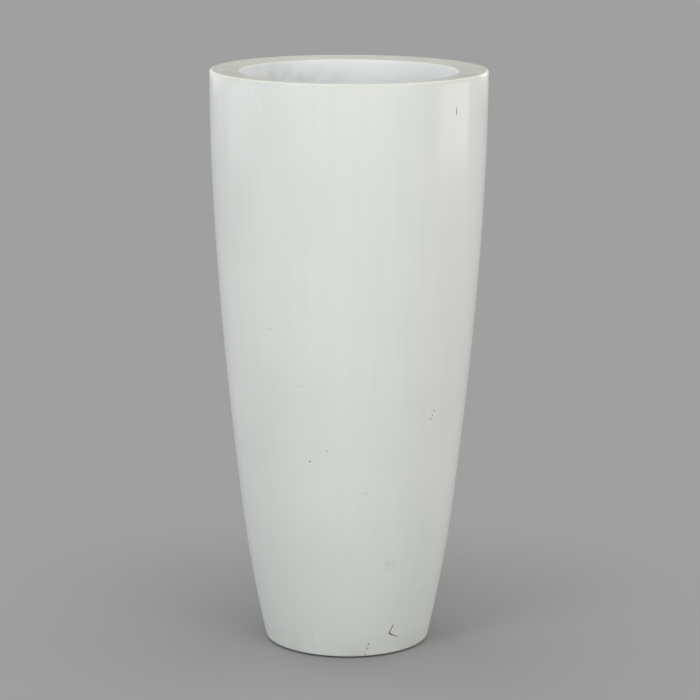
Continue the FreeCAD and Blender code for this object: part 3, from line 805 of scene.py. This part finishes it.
cut_height = INSERT_FLOOR + CORNER
cut_radius = insert_wall_at(cut_height)
ledge_corner = cut_radius - INSERT_WALL - CORNER
pot_section = softened(
    [
        (LEDGE_INNER, INSERT_FLOOR, 0.6),
        (cut_radius - CORNER, INSERT_FLOOR, 4),
        (cut_radius, cut_height, 4),
        (INSERT_OUTER, LIP_BOTTOM, 0.5),
        (FLANGE_OUTER, LIP_BOTTOM, 1.0),
        (FLANGE_OUTER, FLANGE_TOP + FLANGE_RISE, 0.9),
        (FLANGE_OUTER - INSERT_WALL, FLANGE_TOP + FLANGE_RISE, 0.9),
        (FLANGE_OUTER - INSERT_WALL, FLANGE_TOP, 0.8),
        (INSERT_OUTER - INSERT_WALL, FLANGE_TOP, 1.2),
        (cut_radius - INSERT_WALL, cut_height + INSERT_WALL, 2),
        (ledge_corner, INSERT_FLOOR + INSERT_WALL, 1),
        (LEDGE_INNER, INSERT_FLOOR + INSERT_WALL, 0.6),
    ],
    steps=4,
)
pot_section = divided(pot_section, 25)
pot = turn("insert_pot", pot_section, insert_plastic, segments=160, wave=0.00006, wave_size=0.12, seed=9.0)
dress(pot, "planting_insert", "insert_plastic", "planting_insert")

# %% [markdown]
# ## Parts set in a ring
# Ribs, small feet and rubber pads all follow the same rule: one part, repeated at equal steps round the
# axis. One tree does that for all of them, from the part, how many there are, how far out they stand and
# where the first one is.

# %% The ring tree
ring, given, ring_inputs = new_tree(
    "ring_of_parts",
    [
        ("Part", "Object"), ("Count", "Int"), ("Radius", "Float"),
        ("First angle", "Float"), ("Finish", "Material"),
    ],
)
part = add_node(ring, "GeometryNodeObjectInfo", {"Object": given["Part"]})
spots = add_node(ring, "GeometryNodePoints", {"Count": given["Count"]})
number = add_node(ring, "GeometryNodeInputIndex")
step = maths(ring, "DIVIDE", 2 * math.pi, given["Count"])
turned = maths(ring, "MULTIPLY", number.outputs[0], step)
angle = maths(ring, "ADD", turned, given["First angle"])
across = add_node(ring, "ShaderNodeMath", {0: angle}, operation="COSINE")
along = add_node(ring, "ShaderNodeMath", {0: angle}, operation="SINE")
unit = add_node(ring, "ShaderNodeCombineXYZ", {0: across.outputs[0], 1: along.outputs[0]})
where = vector_maths(ring, "SCALE", unit.outputs[0], by=given["Radius"])
placed = add_node(ring, "GeometryNodeSetPosition", {"Geometry": spots.outputs[0], "Position": where})
facing = add_node(ring, "ShaderNodeCombineXYZ", {2: angle})
copies = add_node(
    ring,
    "GeometryNodeInstanceOnPoints",
    {"Points": placed.outputs[0], "Instance": part.outputs["Geometry"], "Rotation": facing.outputs[0]},
)
end_tree(ring, copies.outputs[0], given["Finish"])
print("ring nodes:", len(ring.nodes))


def repeat(name, part, finish, count, radius, first=0.0):
    """Sets copies of a part, drawn at the axis facing +X, in a ring. The radius is in millimetres."""
    values = {"Part": part, "Count": count, "Radius": radius * MM, "First angle": first, "Finish": finish}
    piece = run_tree(name, ring, ring_inputs, values)
    bpy.data.objects.remove(part)
    return piece


def bevelled_solid(name, corners, faces, bevel):
    """A helper solid from corners in millimetres, with its edges rounded."""
    mesh = bpy.data.meshes.new(name)
    mesh.from_pydata([tuple(value * MM for value in corner) for corner in corners], [], faces)
    made = bmesh.new()
    made.from_mesh(mesh)
    bmesh.ops.recalc_face_normals(made, faces=made.faces)
    bmesh.ops.bevel(made, geom=made.edges[:], offset=bevel * MM, segments=2, affect="EDGES", profile=0.5)
    made.to_mesh(mesh)
    made.free()
    return bpy.data.objects.new(name, mesh)


# %% Ribs and feet of the insert
RIB_COUNT, RIB_DROP, RIB_REACH = 12, 40, 8
FOOT_COUNT, FOOT_RADIUS, FOOT_INSET, FOOT_HIGH = 6, 6, 17, 5
rib_top, rib_low = LIP_BOTTOM - RIB_DROP, cut_height
half_wall, half_rib = INSERT_WALL / 2, 1.5
outline = [
    (insert_wall_at(rib_top) - half_wall, rib_top),
    (insert_wall_at(rib_low) - half_wall, rib_low),
    (insert_wall_at(rib_low) + RIB_REACH, rib_low),
]
rib = bevelled_solid(
    "rib",
    [(x, side * half_rib, z) for side in (-1, 1) for x, z in outline],
    [(0, 1, 2), (3, 5, 4), (0, 3, 4, 1), (1, 4, 5, 2), (2, 5, 3, 0)],
    0.4,
)
ribs = repeat("insert_ribs", rib, insert_plastic, RIB_COUNT, 0)
dress(ribs, "planting_insert", "insert_plastic")

foot_low, foot_top = INSERT_FLOOR - FOOT_HIGH, INSERT_FLOOR + 1
foot_corners = [(0, foot_low), (FOOT_RADIUS, foot_low, 0.8), (FOOT_RADIUS, foot_top), (0, foot_top)]
foot_section = softened(foot_corners, 3, False)
foot = turn("foot", foot_section, insert_plastic, segments=28, closed=False)
feet = repeat("insert_feet", foot, insert_plastic, FOOT_COUNT, INSERT_BASE - FOOT_INSET, math.pi / 2)
dress(feet, "planting_insert", "insert_plastic")

# %% [markdown]
# ## Lugs and drain plate
# Both are flat outlines with holes, given a thickness. A flat filled curve does that, with a small bevel on
# each edge, and the holes stay open. The curve is turned into a mesh before the mesh is stood up in its
# place.

# %% Flat outlines with a thickness
def flat_part(name, loops, thickness, bevel):
    """A mesh from closed loops in millimetres: the first is the outline, and the others are holes."""
    curve = bpy.data.curves.new(name, "CURVE")
    curve.dimensions, curve.fill_mode = "2D", "BOTH"
    curve.extrude = (thickness / 2 - bevel) * MM
    curve.bevel_depth, curve.offset = bevel * MM, -bevel * MM
    curve.bevel_resolution = 1
    for points in loops:
        spline = curve.splines.new("POLY")
        spline.points.add(len(points) - 1)
        spline.use_cyclic_u = True
        for point, (x, y) in zip(spline.points, points):
            point.co = (x * MM, y * MM, 0, 1)
    holder = put(name, curve)
    bpy.context.view_layer.update()
    mesh = settle(holder, sharp=20)
    bpy.data.objects.remove(holder)
    return mesh


def ring_points(x, y, radius, count):
    """Points of a circle, for a hole or a round outline."""
    return arc((x, y), radius, 0, 360 * (count - 1) / count, count - 1)


def as_piece(name, mesh, finish):
    """A new object in the scene, from a mesh and its finish."""
    mesh.materials.clear()
    mesh.materials.append(finish)
    return put(name, mesh)


# %% Drain plate
PLATE_LOW = INSERT_FLOOR + INSERT_WALL
PLATE_THICK, PLATE_GAP, HOLE_INSET, HOLE_RADIUS, HOLE_POINTS = 3, 1.5, 43, 6, 24
plate_radius = ledge_corner - PLATE_GAP
hole_ring = plate_radius - HOLE_INSET
holes = [ring_points(0, 0, HOLE_RADIUS, HOLE_POINTS)]
for number in range(6):
    turned = math.radians(60 * number)
    middle = hole_ring * math.cos(turned), hole_ring * math.sin(turned)
    holes.append(ring_points(*middle, HOLE_RADIUS, HOLE_POINTS))
plate_mesh = flat_part("plate", [ring_points(0, 0, plate_radius, 120), *holes], PLATE_THICK, 0.4)
plate_mesh.transform(Matrix.Translation((0, 0, (PLATE_LOW + PLATE_THICK / 2) * MM)))
plate = as_piece("insert_plate", plate_mesh, insert_plastic)
dress(plate, "planting_insert", "insert_plastic", "drain_plate")

# %% Lugs
AXIS_X, LUG_Z = 163.303, FLANGE_TOP + 5.5
LUG_SPAN, LUG_THICK, LUG_BORE = 54, 8, 3.1
low, high = FLANGE_TOP - half_wall, LUG_Z + 6
lug_outline = softened([(-8.5, low), (8.5, low), (5, high, 3.2), (-5, high, 3.2)], steps=5)
lug_mesh = flat_part("lug", [lug_outline, ring_points(0, LUG_Z, LUG_BORE, 24)], LUG_THICK, 0.5)
lug_mesh.transform(Matrix.Rotation(math.pi / 2, 4, "X"))
gathered = bmesh.new()
for x in (-AXIS_X, AXIS_X):
    for y in (-LUG_SPAN, LUG_SPAN):
        copy = lug_mesh.copy()
        copy.transform(Matrix.Translation((x * MM, y * MM, 0)))
        gathered.from_mesh(copy)
gathered.to_mesh(lug_mesh)
gathered.free()
lugs = as_piece("insert_lugs", lug_mesh, insert_plastic)
lug_mesh.shade_smooth()
lug_mesh.set_sharp_from_angle(angle=math.radians(20))
dress(lugs, "planting_insert", "insert_plastic")

# %% [markdown]
# ## Wire handles
# Each handle is one length of galvanised wire, bent in a jig and sprung into the lugs. Its rule is a path
# with bends: a tree rounds each corner of the path by that corner's own bend radius and carries a circle
# along it. Zinc shows faint spangles and dull grey patches where hands have rubbed it.

# %% Zinc wire
zinc, tree, shader, place = new_finish("zinc_wire")
spangle = add_node(tree, "ShaderNodeTexVoronoi", {"Vector": place, "Scale": 260}).outputs["Color"]
spangle = add_node(tree, "ShaderNodeSeparateColor", {0: spangle}).outputs[0]
worn = noise(40, 4)
colour = blend(ramp(spangle, 0, 1), (0.50, 0.51, 0.52), (0.60, 0.61, 0.62))
colour = blend(ramp(worn, 0.52, 0.68), colour, (0.34, 0.34, 0.33))
shader.inputs["Metallic"].default_value = 1.0
roughness = sums(ramp(worn, 0.4, 0.7, 0.28, 0.5), times(spangle, 0.06))
complete(colour, roughness, noise(500, 2), 0.3, 0.0002)

# %% The wire tree
wire, given, wire_inputs = new_tree(
    "bent_wire", [("Path", "Object"), ("Radius", "Float"), ("Sides", "Int"), ("Finish", "Material")]
)
drawn = add_node(wire, "GeometryNodeObjectInfo", {"Object": given["Path"]})
line = add_node(wire, "GeometryNodeMeshToCurve", {"Mesh": drawn.outputs["Geometry"]})
bend = add_node(wire, "GeometryNodeInputNamedAttribute", {"Name": "bend"}, data_type="FLOAT")
bent = add_node(
    wire,
    "GeometryNodeFilletCurve",
    {"Curve": line.outputs[0], "Count": 12, "Radius": bend.outputs["Attribute"], "Limit Radius": True},
    mode="POLY",
)
end_size = add_node(wire, "GeometryNodeInputNamedAttribute", {"Name": "thickness"}, data_type="FLOAT")
rod = add_node(
    wire, "GeometryNodeCurvePrimitiveCircle", {"Resolution": given["Sides"], "Radius": given["Radius"]}
)
sweep = {"Curve": bent.outputs[0], "Profile Curve": rod.outputs[0], "Scale": end_size.outputs["Attribute"]}
swept = add_node(wire, "GeometryNodeCurveToMesh", {**sweep, "Fill Caps": True})
end_tree(wire, swept.outputs[0], given["Finish"])
print("wire nodes:", len(wire.nodes))

# %% Bend the two handles
# Each row: two places, the bend radius of that corner, and the wire's thickness there as a share.
TIP, LEG, REACH, WIRE_RADIUS = 60, 43, 62, 3
for side, side_name in ((-1, "left"), (1, "right")):
    near, far = side * AXIS_X, side * (AXIS_X - REACH)
    path_rows = [
        (near, TIP, 0, 0.8),
        (near, TIP - 0.6, 0, 1),
        (near, LEG, 6, 1),
        (far, LEG, 13, 1),
        (far, -LEG, 13, 1),
        (near, -LEG, 6, 1),
        (near, 0.6 - TIP, 0, 1),
        (near, -TIP, 0, 0.8),
    ]
    path_points = [(x * MM, y * MM, LUG_Z * MM) for x, y, _, _ in path_rows]
    helper = as_edges("path", path_points, closed=False, lathe_plane=False)
    for label, column, unit_size in (("bend", 2, MM), ("thickness", 3, 1)):
        stored = helper.data.attributes.new(label, "FLOAT", "POINT").data
        for value, row in zip(stored, path_rows):
            value.value = row[column] * unit_size
    values = {"Path": helper, "Radius": WIRE_RADIUS * MM, "Sides": 20, "Finish": zinc}
    handle = run_tree("handle_" + side_name, wire, wire_inputs, values)
    bpy.data.objects.remove(helper)
    dress(handle, "lift_handle_" + side_name, "zinc_wire", "lift_handle_" + side_name)

# %% [markdown]
# ## Ring and core under the rim
# The ring that carries the insert is laminate too, bonded behind the lip. Above it a plywood core stiffens
# the rim. Plywood shows its veneers on the edge: a step in height gives the layers, and every second layer
# has its grain across.

# %% Seat ring
GLUE = 0.3  # millimetres of adhesive between bonded parts
SEAT_LOW = LIP_BOTTOM - 5
seat_outer, seat_inner = lip_back + GLUE, LIP_FACE - 16
seat_section = softened(
    [
        (seat_inner, LIP_BOTTOM, 0.5),
        (seat_inner, LIP_BOTTOM - 12.8, 0.2),
        (seat_inner + 1.2, LIP_BOTTOM - 14, 0.2),
        (seat_inner + 4, LIP_BOTTOM - 14, 0.5),
        (seat_inner + 4, SEAT_LOW),
        (seat_outer + 4, SEAT_LOW, 0.5),
        (seat_outer + 4, LIP_BOTTOM + 26, 0.6),
        (seat_outer, LIP_BOTTOM + 26, 0.6),
        (seat_outer, LIP_BOTTOM),
    ],
    steps=3,
)
seat = turn(
    "insert_seat", divided(seat_section, 12), laminate, segments=144, wave=0.00005, wave_size=0.03, seed=2.0
)
dress(seat, "planter_body", "raw_laminate", "insert_seat_ring")

# %% Plywood
plywood, tree, shader, place = new_finish("plywood")
height = add_node(tree, "ShaderNodeSeparateXYZ", {0: place}).outputs["Z"]
VENEER = 0.0022
layer = sums(height, VENEER, "DIVIDE")
odd = ramp(sums(sums(layer, 2.0, "MODULO"), 1.0, "SUBTRACT"), -0.04, 0.04)
grain_x, grain_y = noise(55, 4, (0.08, 1, 1)), noise(55, 4, (1, 0.08, 1))
light_veneer = blend(ramp(grain_x, 0.35, 0.65), (0.40, 0.25, 0.13), (0.56, 0.38, 0.21))
dark_veneer = blend(ramp(grain_y, 0.35, 0.65), (0.27, 0.15, 0.07), (0.38, 0.23, 0.12))
colour = blend(odd, light_veneer, dark_veneer)
stain = ramp(noise(9, 3), 0.55, 0.75)
colour = blend(times(stain, 0.4), colour, (0.20, 0.13, 0.08))
complete(colour, ramp(grain_x, 0.3, 0.7, 0.55, 0.75), sums(grain_x, odd), 0.4, 0.0003)

# %% Rim core
CORE_LOW = 973
core_inner, core_outer = lip_back + GLUE, RIM_RADIUS - WALL - GLUE


def core_top(radius):
    """The core's upper face, which falls with the rim."""
    return rim_top(radius) - WALL - GLUE


core_section = softened(
    [
        (core_inner, CORE_LOW, 0.5),
        (core_outer, CORE_LOW, 0.5),
        (core_outer, core_top(core_outer) - CORNER_CUT),
        (core_outer - CORNER_CUT, core_top(core_outer - CORNER_CUT)),
        (core_inner + CORNER_CUT, core_top(core_inner + CORNER_CUT)),
        (core_inner, core_top(core_inner) - CORNER_CUT),
    ],
    steps=2,
)
core = turn("rim_core", divided(core_section, 25), plywood, segments=128)
dress(core, "planter_body", "plywood", "rim_core_ring")

# %% [markdown]
# ## Base
# The foot is closed by a shallow laminate pan in black paint, with a plywood board laid in it that stops it
# flexing. Both are turned, and the pan's side follows the wall that it is bonded to, so it uses the wall's
# own function.

# %% Painted laminate
dark_laminate, tree, shader, place = new_finish("dark_laminate")
fibres = mat_fibres(150, 0.08, 0.55, FIBRE_TURNS[:3])
patches = noise(22, 4)
colour = blend(ramp(patches, 0.3, 0.7), (0.022, 0.022, 0.022), (0.036, 0.035, 0.033))
colour = blend(times(ramp(patches, 0.56, 0.7), 0.5), colour, (0.11, 0.10, 0.085))
complete(colour, ramp(patches, 0.3, 0.7, 0.32, 0.6), fibres, 0.6, 0.0006)

# %% Pan
def height_behind(height, inset):
    """The height on the wall whose point square behind it is at a given height."""
    found = height
    for _ in range(12):
        found = height - inset * math.sin(math.radians(wall_at(max(found, FOOT))[1]))
    return found


def pan_side(inset, low, high, steps):
    """Points behind the wall from one height to another, going up."""
    first, last = max(height_behind(low, inset), FOOT), height_behind(high, inset)
    heights = [first + (last - first) * step / steps for step in range(steps + 1)]
    return [wall_inside(height, inset) for height in heights]


PAN_INSET, PAN_WALL, PAN_TOP = WALL + GLUE, 4, 37
DRAIN_BORE = 15.1
foot_lean = math.radians(LEANS[-1])
outer_foot = wall_at(FOOT)[0] - PAN_INSET / math.cos(foot_lean)
outer_side = pan_side(PAN_INSET, FOOT, PAN_TOP, 8)
inner_side = pan_side(PAN_INSET + PAN_WALL, FOOT + PAN_WALL, PAN_TOP, 8)
pan_section = softened(
    [
        (DRAIN_BORE, FOOT, 0.3),
        (outer_foot, FOOT),
        *outer_side[1:-1],
        (*outer_side[-1], 0.8),
        (*inner_side[-1], 0.8),
        *reversed(inner_side[1:-1]),
        (*inner_side[0], 0.8),
        (DRAIN_BORE, FOOT + PAN_WALL, 0.3),
    ],
    steps=3,
)
pan = turn(
    "foot_pan", divided(pan_section, 30), dark_laminate, segments=128, wave=0.00005, wave_size=0.05, seed=6.0
)
dress(pan, "planter_body", "dark_laminate", "base_pan")

# %% Board
BOARD_LOW, BOARD_TOP, BOARD_RADIUS = 7, 19, 131.67
board_section = softened(
    [
        (DRAIN_BORE, BOARD_LOW, 0.4), (BOARD_RADIUS, BOARD_LOW, 0.6),
        (BOARD_RADIUS, BOARD_TOP, 0.6), (DRAIN_BORE, BOARD_TOP, 0.4),
    ],
    steps=3,
)
board = turn("foot_board", divided(board_section, 30), plywood, segments=128)
dress(board, "planter_body", "plywood", "base_board")

# %% [markdown]
# ## Drain
# A plain flanged bush goes through board and pan, and a rubber plug with a pull knob closes it. Both are
# small turned parts. Rubber is dull with a paler bloom, and the bush has a finer and glossier grain than
# the insert.

# %% Bush plastic
bush_plastic, tree, shader, place = new_finish("black_plastic")
cloud = noise(90, 4)
colour = blend(ramp(cloud, 0.35, 0.7), (0.020, 0.020, 0.021), (0.040, 0.040, 0.041))
complete(colour, ramp(cloud, 0.3, 0.7, 0.3, 0.42), noise(1800, 1), 0.15, 0.0002)

# %% Rubber
rubber, tree, shader, place = new_finish("black_rubber")
bloom = noise(70, 5)
colour = blend(ramp(bloom, 0.4, 0.68), (0.018, 0.018, 0.018), (0.055, 0.054, 0.050))
complete(colour, ramp(bloom, 0.3, 0.7, 0.62, 0.8), noise(1200, 2), 0.35, 0.0003)

# %% Bush and plug
bush_section = softened(
    [
        (12, FOOT, 0.4), (15, FOOT, 0.4), (15, BOARD_TOP), (23, BOARD_TOP, 0.5),
        (23, BOARD_TOP + 3, 0.9), (12, BOARD_TOP + 3, 0.8),
    ],
    steps=4,
)
bush = turn("drain_collar", divided(bush_section, 8), bush_plastic, segments=64)
dress(bush, "planter_body", "black_plastic", "drain_bush")

plug_section = softened(
    [
        (0, 3.3), (9.7, 3.3, 0.4), (11.7, 5.3, 0.5), (11.7, 22, 0.3), (17, 22, 0.6), (17, 25, 1.0),
        (5, 25, 1.2), (5, 33, 0.8), (10, 33, 0.8), (10, 36.5, 0.9), (5, 40, 1.4), (0, 40),
    ],
    steps=4,
    closed=False,
)
plug = turn("rubber_plug", divided(plug_section, 6, closed=False), rubber, segments=64, closed=False)
dress(plug, "drain_plug", "black_rubber", "drain_plug")

# %% [markdown]
# ## Pads
# Six rubber pads keep the foot off the floor, which gives the dark gap there. One is turned and the ring
# tree sets six.

# %% Pads under the foot
PAD_COUNT, PAD_INSET, PAD_RADIUS, PAD_THICK, PAD_CUT = 6, 33, 16, 3, 0.6
pad_corners = [(0, 0), (PAD_RADIUS - PAD_CUT, 0, 0.2), (PAD_RADIUS, PAD_CUT, 0.2)]
pad_section = softened([*pad_corners, (PAD_RADIUS, PAD_THICK, 0.3), (0, PAD_THICK)], 2, False)
foot_pad = turn("pad", pad_section, rubber, segments=40, closed=False)
pads = repeat("foot_pads", foot_pad, rubber, PAD_COUNT, wall_at(FOOT)[0] - PAD_INSET, math.radians(30))
dress(pads, "planter_body", "black_rubber", *[f"foot_pad_{number}" for number in range(1, 7)])
